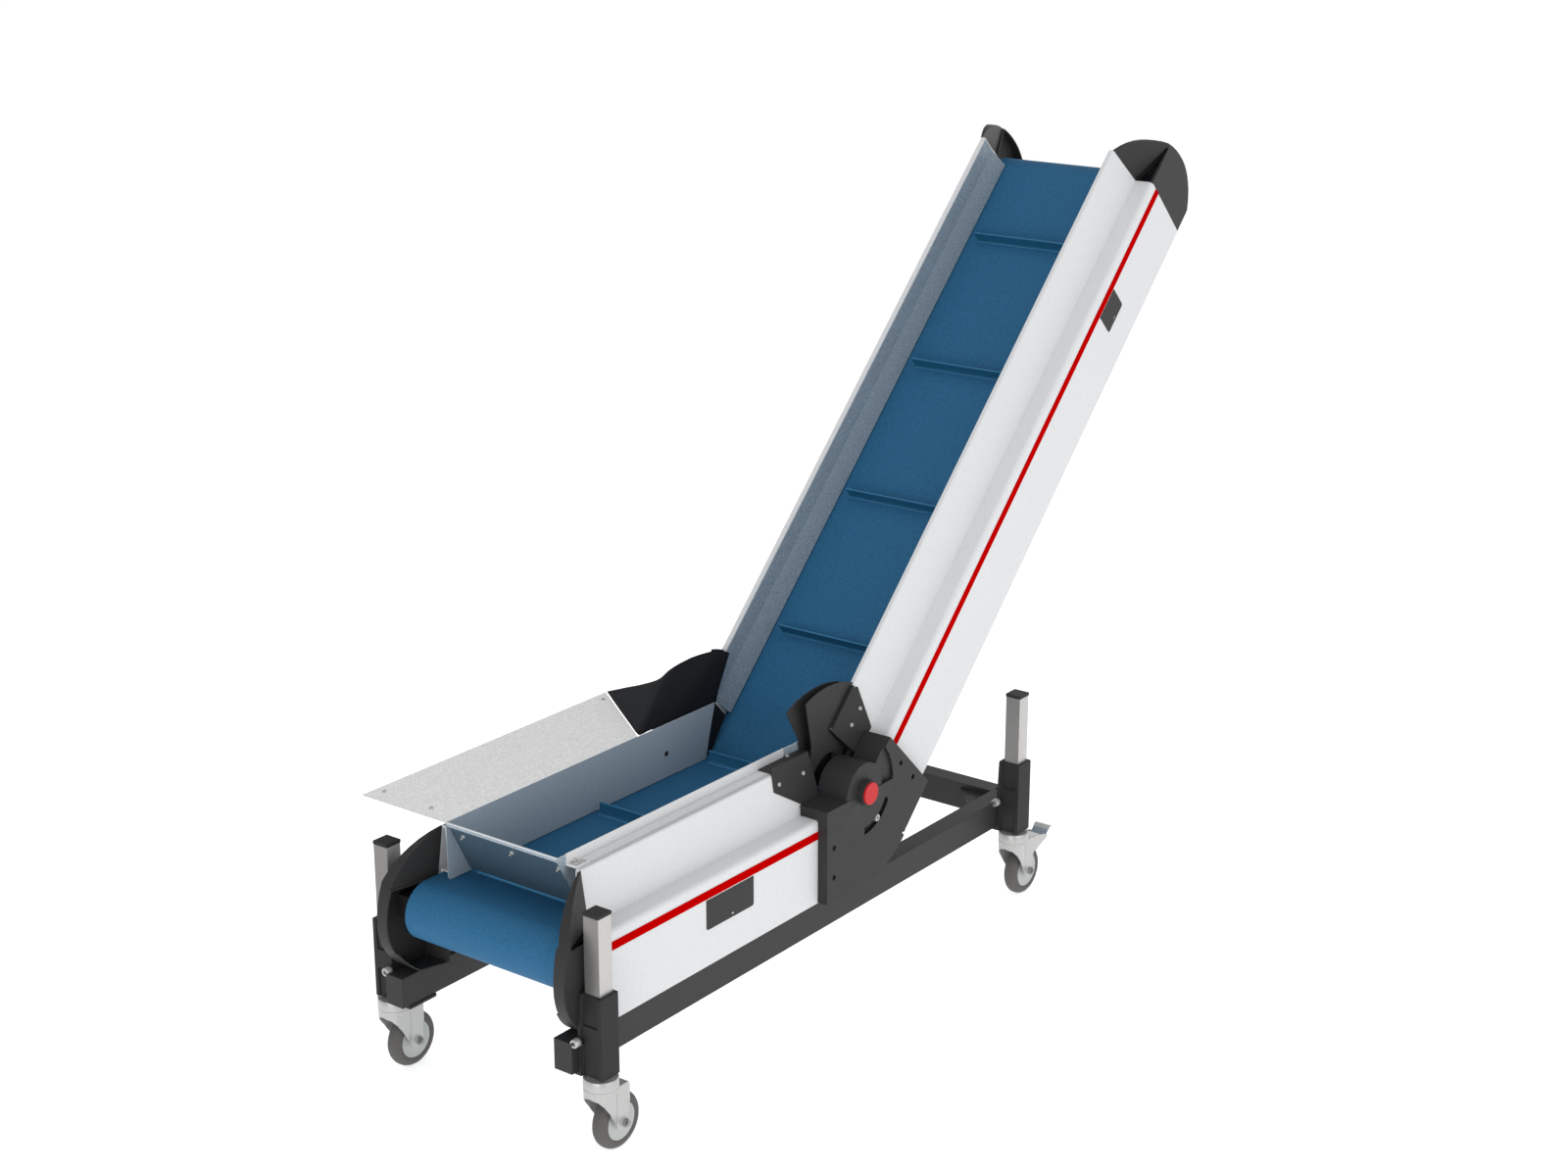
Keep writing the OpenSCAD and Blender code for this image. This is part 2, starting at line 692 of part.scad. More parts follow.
// Moulded tabs lie on the side walls' sloped faces, and leaves about the knee axis close the walls' gap
wall_y = top_in + top_w;
wall_tilt = atan((ledge_in - wall_y) / (side_h - 3 - chamber_h));
module wall_tab(outline) {
    translate([0, ledge_in, chamber_h]) rotate([wall_tilt, 0, 0])
        along_y(foot_seat, mould_t) polygon([for (p = outline) [p[0], p[1] + pivot_n - chamber_h]]);
}
function fan(r0, r1, a0, a1) = concat(arc(r1, a0, a1, 16), arc(r0, a1, a0, 8));
fixed_tab = [[227, 108], [91, 106], [69, -11], [126, -11], [227, 52]];
arm_tab = [[199, 96], [212, 80], [162, -20], [87, -20], [87, 96]];
leaf_seat = guard_in + sheet_t + foot_seat;
leaf_flare = 4;
leaf_left = -123;
bridge_z = deck_z + side_h + sheet_t + foot_seat;
bridge_s = 224;
// Bridges from leaf to tab: distance of the rear edge before the knee axis, reach past the wall's edge
bridges = [[63, -15], [98, 1.6]];
leaf_near_edge = [[-96, 150], [-80, 118], [-73, 92], [-76, 60], [-86, 22], [-95, -12], [8, -12], [60, 66]];
module leaf_near() {
    color(black_mould) near_side() {
        on_lower() wall_tab(fixed_tab);
        for (b = bridges) translate([pivot_x - bridge_s, leaf_seat, bridge_z])
            cube([bridge_s - b[0], wall_y + b[1] - leaf_seat, mould_t]);
        translate([pivot_x, 0, pivot_z]) translate([leaf_left, leaf_seat, 0]) rotate([0, 0, leaf_flare])
            along_y(0, mould_t) polygon(moved(concat(
                arc(leaf_r - 2, 75, 122, 16), leaf_near_edge
            ), [-leaf_left, 0]));
    }
}
// Corners of the far wing: inner point, then its offset through the sheet
wing = [
    [[guard_rear, guard_in + 2, hopper_z - 1], [0.5, 2.9, -0.8]],
    [[pivot_x + 69, guard_in + 2, pivot_z + 219.5], [0.6, 2.9, -0.3]],
    [[pivot_x + 24, guard_in + 12, pivot_z + 229.5], [0.9, 2.9, -0.3]],
    [[pivot_x - 22, guard_in + 32, pivot_z + 230], [1.2, 2.7, -0.4]],
    [[pivot_x - 84, guard_in + 52, pivot_z + 215.5], [2.5, 1.8, -3.1]],
    [[flange_rear_out + 1.7, flange_y - 3, hopper_z + 2.2], [1.6, -1.1, -2.3]],
    [[flange_rear + 2.7, guard_in + 2, hopper_z + 2.2], [1.5, 1.6, -3.6]]
];
wing_faces = [[0, 1, 2], [0, 2, 3], [0, 3, 4], [0, 4, 6], [6, 4, 5]];
// Corners of the wing's web about the knee axis
wing_web = [
    [12, 114], [12, 118], [26, 152], [30, 147], [17, 108],
    [54, 68.5], [-1, -6.5], [-23, -13.5], [-11, 28.5], [4, 106]
];
module wing_far() {
    count = len(wing);
    color(black_mould) translate([pivot_x, 0, pivot_z])
        along_y(leaf_seat, leaf_seat + mould_t) polygon(wing_web);
    color(black_mould) polyhedron(
        points = concat([for (p = wing) p[0]], [for (p = wing) p[0] + p[1]]),
        faces = concat(
            [for (f = wing_faces) [f[2], f[1], f[0]]],
            [for (f = wing_faces) [f[0] + count, f[1] + count, f[2] + count]],
            [for (i = [0:count - 1]) [i, (i + 1) % count, i + count]],
            [for (i = [0:count - 1]) [i + count, (i + 1) % count, (i + 1) % count + count]]
        )
    );
}

// Underside: a curved floor about the knee axis closes the gap behind the pan
floor_r = pivot_n - pan_n - pan_t - foot_seat;
floor_t = 2;
floor_start = -91;
floor_end = -45;
module knee_floor() {
    reach = half_w - chamber_w - 1;
    color(white_paint) translate([pivot_x, 0, pivot_z])
        along_y(-reach, reach) polygon(fan(floor_r - floor_t, floor_r, floor_start, floor_end));
}

// Knee housings: the fixed one carries the hub and the slotted face, the arm's one turns behind that face
face_t = 2.5;
knee_y = half_w + knee_proud;
slide_gap = 1;
arm_y = knee_y - face_t - slide_gap;
housing_n = 2;
low_r = pivot_n - housing_n;
disc_r = 115;
box_over = 25;
box_top = chamber_h + box_over;
module housing_outline(s0) {
    polygon([
        [s0, housing_n - pivot_n], [knee_len, housing_n - pivot_n],
        [knee_len, box_top - pivot_n], [s0, box_top - pivot_n]
    ]);
}
// A hollow housing over the side profile and its ledge, drawn about the knee axis
module housing(s0, y_face, face) {
    difference() {
        along_y(ledge_in + 1, y_face) housing_outline(s0);
        along_y(ledge_in, half_w + foot_seat) translate([0, chamber_h + foot_seat - pivot_n - big])
            square([big, big]);
        along_y(half_w, y_face - face) translate([s0 - 1, housing_n - pivot_n + mould_t])
            square([knee_len - s0 + 1 - mould_t, box_top - housing_n - 2 * mould_t]);
    }
}
slot_a0 = -102;
slot_a1 = -30;
module slot_cut() {
    polygon(concat(
        arc(slot_r + slot_w / 2, slot_a0, slot_a1, 24),
        moved(arc(slot_w / 2, slot_a1 + 15, slot_a1 + 165, 10), slot_r * [cos(slot_a1), sin(slot_a1)]),
        arc(slot_r - slot_w / 2, slot_a1, slot_a0, 24),
        moved(arc(slot_w / 2, slot_a0 + 195, slot_a0 + 345, 10), slot_r * [cos(slot_a0), sin(slot_a0)])
    ));
}
fix_hole_r = 6.5;
boss_r = 30;
boss_proud = 14;
fix_holes = [[117, 132 - pivot_n], [117, 60 - pivot_n]];
arm_holes = [[120.5, 140 - pivot_n], [120.5, 69 - pivot_n]];
module fixed_face() {
    difference() {
        union() {
            mirror([1, 0]) housing_outline(0);
            circle(r = disc_r, $fn = 128);
            polygon(concat([[0, 0]], arc(low_r, -90, -45, 16)));
        }
        translate([-big, box_top - pivot_n]) square([2 * big, big]);
        slot_cut();
    }
}
module knee_fixed() {
    color(black_mould) translate([pivot_x, 0, pivot_z]) difference() {
        union() {
            mirror([1, 0, 0]) housing(0, knee_y, face_t);
            along_y(knee_y - face_t, knee_y) fixed_face();
            rotate([-90, 0, 0]) translate([0, 0, hub_in]) {
                cylinder(h = knee_y - face_t / 2 - hub_in, r = hub_r, $fn = 96);
                cylinder(h = knee_y + boss_proud - hub_in, r = boss_r, $fn = 64);
            }
        }
        for (h = fix_holes) translate([-h[0], knee_y - face_t - 1, h[1]]) rotate([-90, 0, 0])
            cylinder(h = face_t + 2, r = fix_hole_r, $fn = 32);
    }
}
module knee_fixed_near() {
    near_side() knee_fixed();
}
module knee_fixed_far() {
    knee_fixed();
}
cap_r = 26;
cap_h = 5;
module hub_caps() {
    color([0.84, 0.2, 0.21]) for (side = [0, 1]) mirror([0, side, 0])
        translate([pivot_x, knee_y + boss_proud, pivot_z]) rotate([-90, 0, 0])
            cylinder(h = cap_h, r = cap_r, $fn = 64);
}
swing_gap = 6;
hub_gap = 0.5;
arm_span = 38;
hub_in = 206;
leaf_a0 = 20;
leaf_a1 = 68;
leaf_a1_far = 34;
leaf_far_w = 80;
leaf_step = 9;
leaf_edge = [[130, 77], [118, 82], [104, 91], [98, 97], [86, 108], [86, 135]];
leaf_shape = concat(
    arc(leaf_r, leaf_a0, leaf_a1, 16), [for (p = leaf_edge) p[0] * [cos(p[1]), sin(p[1])]],
    arc(hub_r + 4, 135, leaf_a0, 16)
);
slot_room = 7;
room_gap = 1.5;
slide_short = 6;
step_s = 3;
step_len = 112;
module knee_arm(shape) {
    color(black_mould) {
        translate([pivot_x, 0, pivot_z]) rotate([0, -knee_angle, 0]) {
            difference() {
                union() {
                    difference() {
                        union() {
                            housing(swing_gap, arm_y, mould_t);
                            along_y(arm_y - mould_t, arm_y) polygon(concat(
                                [[swing_gap, 0]], arc(low_r - slide_short, -90 - arm_span, -88, 16)
                            ));
                        }
                        along_y(arm_y - slot_room, arm_y + 1) circle(r = disc_r + room_gap, $fn = 128);
                    }
                    along_y(arm_y - slot_room - mould_t, arm_y - slot_room) intersection() {
                        circle(r = disc_r + room_gap + mould_t, $fn = 128);
                        polygon(concat([[swing_gap, box_top - pivot_n]], arc(low_r, -90 - arm_span, 0, 16),
                            [[low_r, box_top - pivot_n]]));
                    }
                }
                rotate([-90, 0, 0]) translate([0, 0, ledge_in - 20])
                    cylinder(h = 200, r = hub_r + hub_gap, $fn = 96);
                for (h = arm_holes) translate([h[0], arm_y - mould_t - 1, h[1]]) rotate([-90, 0, 0])
                    cylinder(h = mould_t + 2, r = fix_hole_r, $fn = 32);
            }
            along_y(wall_y - leaf_step, wall_y - leaf_step + mould_t) difference() {
                polygon(shape);
                translate([knee_cut - swing_gap, -big + side_h - pivot_n + foot_seat]) square([big, big]);
            }
            translate([knee_cut + step_s, wall_y - leaf_step, side_h - pivot_n + foot_seat])
                cube([step_len, leaf_step + mould_t - foot_seat, mould_t]);
        }
        on_upper() wall_tab(arm_tab);
    }
}
module knee_arm_near() {
    near_side() knee_arm(leaf_shape);
}
module knee_arm_far() {
    knee_arm(fan(leaf_r - leaf_far_w, leaf_r, leaf_a0, leaf_a1_far));
}

rail_near();
rail_far();
crossbar();
holder_at(0, 1);  // holder_front_near
holder_at(0, 0);  // holder_front_far
holder_at(wheelbase, 1);  // holder_rear_near
holder_at(wheelbase, 0);  // holder_rear_far
side_lower_near();
side_lower_far();
stripes_lower();
hatch_lower();
bed_lower();
belt_lower();
tail_drum();
tail_cap_near();
tail_cap_far();
pan_lower();
hopper_front();
guard_near();
guard_far();
wing_far();
leaf_near();
knee_floor();
knee_fixed_near();
knee_fixed_far();
hub_caps();
side_upper_near();
side_upper_far();
stripes_upper();
hatch_upper();
bed_upper();
belt_upper();
head_drum();
head_cap_near();
head_cap_far();
pan_upper();
knee_arm_near();
knee_arm_far();
leg(0, 1);  // leg_front_near
leg(0, 0);  // leg_front_far
leg(wheelbase, 1);  // leg_rear_near
leg(wheelbase, 0);  // leg_rear_far
leg_cap(0, 1);  // leg_cap_front_near
leg_cap(0, 0);  // leg_cap_front_far
leg_cap(wheelbase, 1);  // leg_cap_rear_near
leg_cap(wheelbase, 0);  // leg_cap_rear_far
fork(0, 1, false);  // fork_front_near
fork(0, 0, false);  // fork_front_far
fork(wheelbase, 1, true);  // fork_rear_near
fork(wheelbase, 0, true);  // fork_rear_far
hub(0, 1);  // hub_front_near
hub(0, 0);  // hub_front_far
hub(wheelbase, 1);  // hub_rear_near
hub(wheelbase, 0);  // hub_rear_far
tyre(0, 1);  // tyre_front_near
tyre(0, 0);  // tyre_front_far
tyre(wheelbase, 1);  // tyre_rear_near
tyre(wheelbase, 0);  // tyre_rear_far
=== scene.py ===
import json
import math
import bpy
import bmesh
from mathutils import Matrix, Vector

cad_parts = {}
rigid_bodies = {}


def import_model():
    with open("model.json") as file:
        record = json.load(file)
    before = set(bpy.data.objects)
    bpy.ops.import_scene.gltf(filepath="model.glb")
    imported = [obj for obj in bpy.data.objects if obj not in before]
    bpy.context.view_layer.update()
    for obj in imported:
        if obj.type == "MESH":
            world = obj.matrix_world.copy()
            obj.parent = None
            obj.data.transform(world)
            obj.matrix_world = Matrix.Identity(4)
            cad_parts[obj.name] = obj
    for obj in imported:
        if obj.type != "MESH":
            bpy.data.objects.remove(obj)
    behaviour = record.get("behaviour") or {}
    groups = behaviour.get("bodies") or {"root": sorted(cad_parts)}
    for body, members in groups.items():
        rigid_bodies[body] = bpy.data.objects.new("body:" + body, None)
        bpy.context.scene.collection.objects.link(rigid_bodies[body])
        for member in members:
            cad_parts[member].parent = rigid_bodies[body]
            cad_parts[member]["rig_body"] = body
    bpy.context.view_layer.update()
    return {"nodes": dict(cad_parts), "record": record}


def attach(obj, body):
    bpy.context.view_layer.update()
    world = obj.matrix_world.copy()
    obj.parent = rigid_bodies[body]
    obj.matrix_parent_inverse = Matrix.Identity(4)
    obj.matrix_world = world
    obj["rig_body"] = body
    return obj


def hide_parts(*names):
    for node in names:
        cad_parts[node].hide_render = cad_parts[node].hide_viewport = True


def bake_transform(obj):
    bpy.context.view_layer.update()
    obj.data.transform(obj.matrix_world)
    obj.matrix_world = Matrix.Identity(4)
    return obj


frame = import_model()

nodes = frame["nodes"]
record = frame["record"]

MM = 0.001
PIVOT = Vector((926, 0, 491.5))
DECK = 262.0
PIVOT_N = 229.5
ANGLE = math.radians(45)
WHEELBASE = 1563.0
LEG_Y = 293.0


# Places in millimetres on the infeed and the discharge section: s from the knee axis, y, and n from the underside
def low(s, y, n):
    return Vector((PIVOT.x - s, y, DECK + n))


def up(s, y, n):
    m = n - PIVOT_N
    return Vector((PIVOT.x + s * math.cos(ANGLE) - m * math.sin(ANGLE), y,
                   PIVOT.z + s * math.sin(ANGLE) + m * math.cos(ANGLE)))


# Materials
GRAIN_EDGES = (0.4, 0.6)
ROUGH_SPREAD = 0.06
BUMP_SCALE = 600.0
BUMP_DEPTH = 0.0005


def material(name, color, rough, metal=0.0, grain=0.0, grain_scale=400.0, bump=0.0, spec=0.5, painted_shade_by_facing=None):
    """A finish with fine grain; facing, when given, paints shade into the colour: an axis and the colours by how far up
    it a surface faces.
    """
    m = bpy.data.materials.new(name)
    m.use_nodes = True
    t = m.node_tree
    b = t.nodes["Principled BSDF"]
    b.inputs["Metallic"].default_value = metal
    b.inputs["Specular IOR Level"].default_value = spec
    place = t.nodes.new("ShaderNodeTexCoord")
    noise = t.nodes.new("ShaderNodeTexNoise")
    noise.inputs["Scale"].default_value = grain_scale
    noise.inputs["Detail"].default_value = 3.0
    t.links.new(place.outputs["Object"], noise.inputs["Vector"])
    ramp = t.nodes.new("ShaderNodeValToRGB")
    ramp.color_ramp.elements[0].position = GRAIN_EDGES[0]
    ramp.color_ramp.elements[1].position = GRAIN_EDGES[1]
    ramp.color_ramp.elements[0].color = [c * (1 - grain) for c in color] + [1]
    ramp.color_ramp.elements[1].color = [min(1.0, c * (1 + grain)) for c in color] + [1]
    t.links.new(noise.outputs["Fac"], ramp.inputs["Fac"])
    # Painted shade: the grain colour is multiplied by a ramp over one axis of the surface normal, so faces turned one
    # way come out darker.
    if painted_shade_by_facing:
        axis, stops = painted_shade_by_facing
        normal = t.nodes.new("ShaderNodeNewGeometry")
        split = t.nodes.new("ShaderNodeSeparateXYZ")
        span = t.nodes.new("ShaderNodeMapRange")
        span.inputs["From Min"].default_value = -1.0
        shade = t.nodes.new("ShaderNodeValToRGB")
        shade.color_ramp.elements[1].position = 1.0
        shade.color_ramp.elements[1].color = (1, 1, 1, 1)
        for position, tone in stops:
            stop = shade.color_ramp.elements[0] if tone is stops[0][1] else shade.color_ramp.elements.new(position)
            stop.position = position
            stop.color = [c / d for c, d in zip(tone, color)] + [1]
        mix = t.nodes.new("ShaderNodeMix")
        mix.data_type = "RGBA"
        mix.blend_type = "MULTIPLY"
        mix.inputs["Factor"].default_value = 1.0
        t.links.new(normal.outputs["Normal"], split.inputs["Vector"])
        t.links.new(split.outputs[axis], span.inputs["Value"])
        t.links.new(span.outputs["Result"], shade.inputs["Fac"])
        t.links.new(ramp.outputs["Color"], mix.inputs["A"])
        t.links.new(shade.outputs["Color"], mix.inputs["B"])
        t.links.new(mix.outputs["Result"], b.inputs["Base Color"])
    else:
        t.links.new(ramp.outputs["Color"], b.inputs["Base Color"])
    rough_map = t.nodes.new("ShaderNodeMapRange")
    rough_map.inputs["To Min"].default_value = max(0.0, rough - ROUGH_SPREAD)
    rough_map.inputs["To Max"].default_value = min(1.0, rough + ROUGH_SPREAD)
    t.links.new(noise.outputs["Fac"], rough_map.inputs["Value"])
    t.links.new(rough_map.outputs["Result"], b.inputs["Roughness"])
    if bump:
        fine = t.nodes.new("ShaderNodeTexNoise")
        fine.inputs["Scale"].default_value = BUMP_SCALE
        fine.inputs["Detail"].default_value = 2.0
        t.links.new(place.outputs["Object"], fine.inputs["Vector"])
        bm = t.nodes.new("ShaderNodeBump")
        bm.inputs["Strength"].default_value = bump
        bm.inputs["Distance"].default_value = BUMP_DEPTH
        t.links.new(fine.outputs["Fac"], bm.inputs["Height"])
        t.links.new(bm.outputs["Normal"], b.inputs["Normal"])
    return m


MATS = {
    "frame_paint": material("frame_paint", (0.028, 0.028, 0.028), 0.5, grain=0.05, bump=0.1, spec=0.25),
    "black_casting": material("black_casting", (0.0215, 0.0215, 0.0217), 0.55, grain=0.06, bump=0.12, spec=0.18),
    # tube_aluminium: painted shade, about half as bright on the faces that turn towards -x.
    "tube_aluminium": material("tube_aluminium", (0.49, 0.482, 0.473), 0.34, metal=0.6, grain=0.05, bump=0.03,
                               painted_shade_by_facing=("X", ((0.05, (0.22, 0.216, 0.212)), (0.3, (0.49, 0.482, 0.473))))),
    "white_coating": material("white_coating", (0.675, 0.685, 0.70), 0.55, grain=0.03, grain_scale=300, bump=0.1,
                              spec=0.3),
    "red_stripe": material("red_stripe", (0.46, 0.0, 0.0), 0.7, grain=0.02, spec=0.0),
    "black_plastic": material("black_plastic", (0.030, 0.030, 0.0302), 0.5, grain=0.05, bump=0.1, spec=0.2),
    # bare_sheet: painted shade, full tone on faces that turn up, darker blue-grey on upright faces and darkest on faces
    # that turn down.
    "bare_sheet": material("bare_sheet", (0.93, 0.935, 0.945), 0.45, metal=0.05, grain=0.2, grain_scale=360, bump=0.15,
                           spec=0.3, painted_shade_by_facing=("Z", ((0.3, (0.055, 0.095, 0.135)), (0.5, (0.34, 0.41, 0.475)),
                                                   (0.9, (0.93, 0.935, 0.945))))),
    # A darker blue-grey copy of the bare sheet, as painted shade and reflection, for the liners inside the discharge
    # and the brake pedals' faces.
    "painted_shade_sheet": material("painted_shade_sheet", (0.275, 0.335, 0.395), 0.42, metal=0.15, grain=0.2, grain_scale=360,
                            bump=0.15, spec=0.3),
    "blue_belt": material("blue_belt", (0.026, 0.128, 0.258), 0.6, grain=0.15, grain_scale=360, bump=0.2, spec=0.12),
    # cleat_blue: painted shade and highlight, darker than the belt on faces that turn down and sideways, lighter on
    # faces that turn up.
    "cleat_blue": material("cleat_blue", (0.05, 0.20, 0.37), 0.55, grain=0.12, grain_scale=320, spec=0.15,
                           painted_shade_by_facing=("Z", ((0.2, (0.013, 0.095, 0.185)), (0.5, (0.017, 0.11, 0.21)),
                                         (0.8, (0.05, 0.20, 0.37))))),
    "shaded_plastic": material("shaded_plastic", (0.010, 0.0112, 0.0138), 0.7, grain=0.05, bump=0.1, spec=0.1),
    "dark_steel": material("dark_steel", (0.02, 0.02, 0.021), 0.5, grain=0.05, spec=0.2),
    "red_plastic": material("red_plastic", (0.54, 0.016, 0.02), 0.45, grain=0.02, spec=0.25),
    "zinc_plate": material("zinc_plate", (0.47, 0.47, 0.465), 0.34, metal=0.45, grain=0.03),
    "bolt_steel": material("bolt_steel", (0.27, 0.27, 0.275), 0.32, metal=0.6, grain=0.05),
    "grey_plastic": material("grey_plastic", (0.47, 0.49, 0.475), 0.5, grain=0.03, spec=0.3),
    "grey_tyre": material("grey_tyre", (0.105, 0.102, 0.098), 0.65, grain=0.06, bump=0.15, spec=0.2),
}
# Each CAD node takes the finish of its slot in the record
slot_of = {part["node"]: part["material_slot"] for part in record["subparts"]}
for name, obj in nodes.items():
    obj.data.materials.clear()
    obj.data.materials.append(MATS[slot_of[name]])


# Mesh helpers, all in millimetres; smooth is the angle in degrees above which an edge stays sharp
BEVEL_SEGMENTS = 2


def make(name, verts, faces, mat, body=None, smooth=0, bevel=0.0):
    mesh = bpy.data.meshes.new(name)
    mesh.from_pydata([Vector(v) * MM for v in verts], [], faces)
    mesh.validate()
    b = bmesh.new()
    b.from_mesh(mesh)
    bmesh.ops.recalc_face_normals(b, faces=b.faces)
    b.to_mesh(mesh)
    b.free()
    obj = bpy.data.objects.new(name, mesh)
    bpy.context.scene.collection.objects.link(obj)
    mesh.materials.append(MATS[mat])
    if smooth:
        mesh.polygons.foreach_set("use_smooth", [True] * len(mesh.polygons))
        mesh.set_sharp_from_angle(angle=math.radians(smooth))
    if bevel:
        mod = obj.modifiers.new("bevel", "BEVEL")
        mod.width = bevel * MM
        mod.segments = BEVEL_SEGMENTS
        mod.limit_method = "ANGLE"
        mod.angle_limit = math.radians(30)
    if body:
        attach(obj, body)
    return obj


def strip_loop(points, half, thick):
    """A closed band: outer points of a closed path in x and z, with its inner side offset inwards."""
    count = len(points)
    verts, faces = [], []
    for i, p in enumerate(points):
        a, c = points[i - 1], points[(i + 1) % count]
        d = Vector((c[0] - a[0], c[1] - a[1])).normalized()
        inner = Vector((-d.y, d.x)) * -thick
        for y in (-half, half):
            verts.append((p[0], y, p[1]))
            verts.append((p[0] + inner.x, y, p[1] + inner.y))
    for i in range(count):
        a, b = 4 * i, 4 * ((i + 1) % count)
        faces += [(a, a + 2, b + 2, b), (a + 1, b + 1, b + 3, a + 3)]
        faces += [(a, b, b + 1, a + 1), (a + 2, a + 3, b + 3, b + 2)]
    return verts, faces


# Belt: one closed loop round both drums, bending at the knee
BELT_N, BELT_W, BELT_T, TURN_R = 210.0, 380.0, 3.0, 65.0
LOW_END, UP_END = 911.0, 1738.0
EDGE_UNDER = 7.0
BEND_R, BEND_ROOM = 70.0, 60
DRUM_N = BELT_N - TURN_R


def xz(v):
    return (v.x, v.z)


path = []
for i in range(24):
    path.append(xz(low(LOW_END - 22 - (LOW_END - 22 - BEND_ROOM) * i / 23, 0, BELT_N)))
corner = Vector(xz(low(0, 0, BELT_N))) + Vector(((PIVOT_N - BELT_N) * math.tan(ANGLE / 2), 0))
tangent = BEND_R * math.tan(ANGLE / 2)
centre = corner + Vector((-tangent, BEND_R))
for i in range(13):
    a = math.radians(-90 + 45 * i / 12)
    path.append((centre.x + BEND_R * math.cos(a), centre.y + BEND_R * math.sin(a)))
for i in range(40):
    path.append(xz(up(BEND_ROOM + (UP_END - BEND_ROOM) * i / 39, 0, BELT_N)))
for i in range(1, 32):
    a = math.radians(90 - 180 * i / 32)
    path.append(xz(up(UP_END + TURN_R * math.cos(a), 0, DRUM_N + TURN_R * math.sin(a))))
for i in range(40):
    path.append(xz(up(UP_END - UP_END * i / 39, 0, DRUM_N - TURN_R)))
for i in range(1, 16):
    a = math.radians(-45 - 45 * i / 16)
    r = PIVOT_N - (DRUM_N - TURN_R)
    path.append((PIVOT.x + r * math.cos(a), PIVOT.z + r * math.sin(a)))
for i in range(24):
    path.append(xz(low(LOW_END * i / 23, 0, DRUM_N - TURN_R)))
for i in range(1, 32):
    a = math.radians(-90 + 180 * i / 32)
    path.append(xz(low(LOW_END + TURN_R * math.cos(a), 0, DRUM_N + TURN_R * math.sin(a))))
verts, faces = strip_loop(path, BELT_W / 2 + EDGE_UNDER, BELT_T)
belt = make("belt", verts, faces, "blue_belt", smooth=50)
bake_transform(belt)
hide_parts("belt_lower", "belt_upper")

# Cleats
PITCH, FIRST, CLEAT_H, CLEAT_W = 390.0, 343.0, 30.0, 272.0
CLEAT_SINK, LAST_ROOM, LOWER_SHIFT = 0.3, 25, 15
profile = [(-9, 0), (-5.5, 1.2), (-3.6, 3.2), (-2.6, 6.5), (-2.2, CLEAT_H - 1.5), (-1.2, CLEAT_H), (1.2, CLEAT_H),
           (2.2, CLEAT_H - 1.5), (2.6, 6.5), (3.6, 3.2), (5.5, 1.2), (9, 0)]


def cleat(name, body, at, along, outward):
    verts = []
    for y in (-CLEAT_W / 2, CLEAT_W / 2):
        for s, n in profile:
            verts.append(at + along * s + outward * n + Vector((0, y, 0)))
    count = len(profile)
    faces = [tuple(range(count)), tuple(range(2 * count - 1, count - 1, -1))]
    faces += [(i, (i + 1) % count, count + (i + 1) % count, count + i) for i in range(count)]
    make(name, verts, faces, "cleat_blue", body=body, smooth=25)


def cleats(body, place, end_s, first, tag):
    turn = math.pi * TURN_R
    path_s = first
    number = 1
    while path_s <= 2 * end_s + turn - LAST_ROOM:
        if path_s <= end_s:
            s, n = path_s, BELT_N
            a = math.pi / 2
        elif path_s <= end_s + turn:
            a = math.pi / 2 - (path_s - end_s) / TURN_R
            s, n = end_s + TURN_R * math.cos(a), DRUM_N + TURN_R * math.sin(a)
        else:
            a = -math.pi / 2
            s, n = end_s - (path_s - end_s - turn), DRUM_N - TURN_R
        at = place(s, 0, n)
        outward = place(s + math.cos(a), 0, n + math.sin(a)) - at
        along = place(s + math.sin(a), 0, n - math.cos(a)) - at
        cleat(f"cleat_{tag}_{number}", body, at - outward * CLEAT_SINK, along, outward)
        number += 1
        path_s += PITCH


cleats("root", low, LOW_END, PITCH - FIRST - LOWER_SHIFT, "lower")
cleats("incline", up, UP_END, FIRST, "upper")


# Hard-edged CAD nodes are shown through copies with softened edges
SOFT_ANGLE = math.radians(32)


def softened(node, width):
    src = nodes[node]
    mesh = src.data.copy()
    obj = bpy.data.objects.new("soft_" + node, mesh)
    bpy.context.scene.collection.objects.link(obj)
    b = bmesh.new()
    b.from_mesh(mesh)
    bmesh.ops.remove_doubles(b, verts=b.verts, dist=2e-6)
    bmesh.ops.dissolve_limit(b, angle_limit=math.radians(1.0), verts=b.verts, edges=b.edges)
    b.to_mesh(mesh)
    b.free()
    mesh.polygons.foreach_set("use_smooth", [True] * len(mesh.polygons))
    mesh.set_sharp_from_angle(angle=SOFT_ANGLE)
    mod = obj.modifiers.new("bevel", "BEVEL")
    mod.width = width * MM
    mod.segments = BEVEL_SEGMENTS
    mod.limit_method = "ANGLE"
    mod.angle_limit = SOFT_ANGLE
    mod.harden_normals = True
    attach(obj, src["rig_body"])
    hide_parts(node)
    return obj


SOFT = {"knee_fixed_near": 2.2, "knee_fixed_far": 2.2, "knee_arm_near": 1.0, "knee_arm_far": 1.0, "leaf_near": 0.8,
        "hub_caps": 0.8, "rail_near": 1.5, "rail_far": 1.5, "hatch_lower": 0.5, "hatch_upper": 0.5,
        "tail_cap_near": 1.2, "tail_cap_far": 1.2, "head_cap_near": 1.2, "head_cap_far": 1.2,
        "guard_near": 0.4, "guard_far": 0.4, "hopper_front": 0.4}
for end in ("front", "rear"):
    for side in ("near", "far"):
        SOFT[f"holder_{end}_{side}"] = 1.5
        SOFT[f"leg_cap_{end}_{side}"] = 0.8
        SOFT[f"leg_{end}_{side}"] = 1.2
for node, width in SOFT.items():
    softened(node, width)


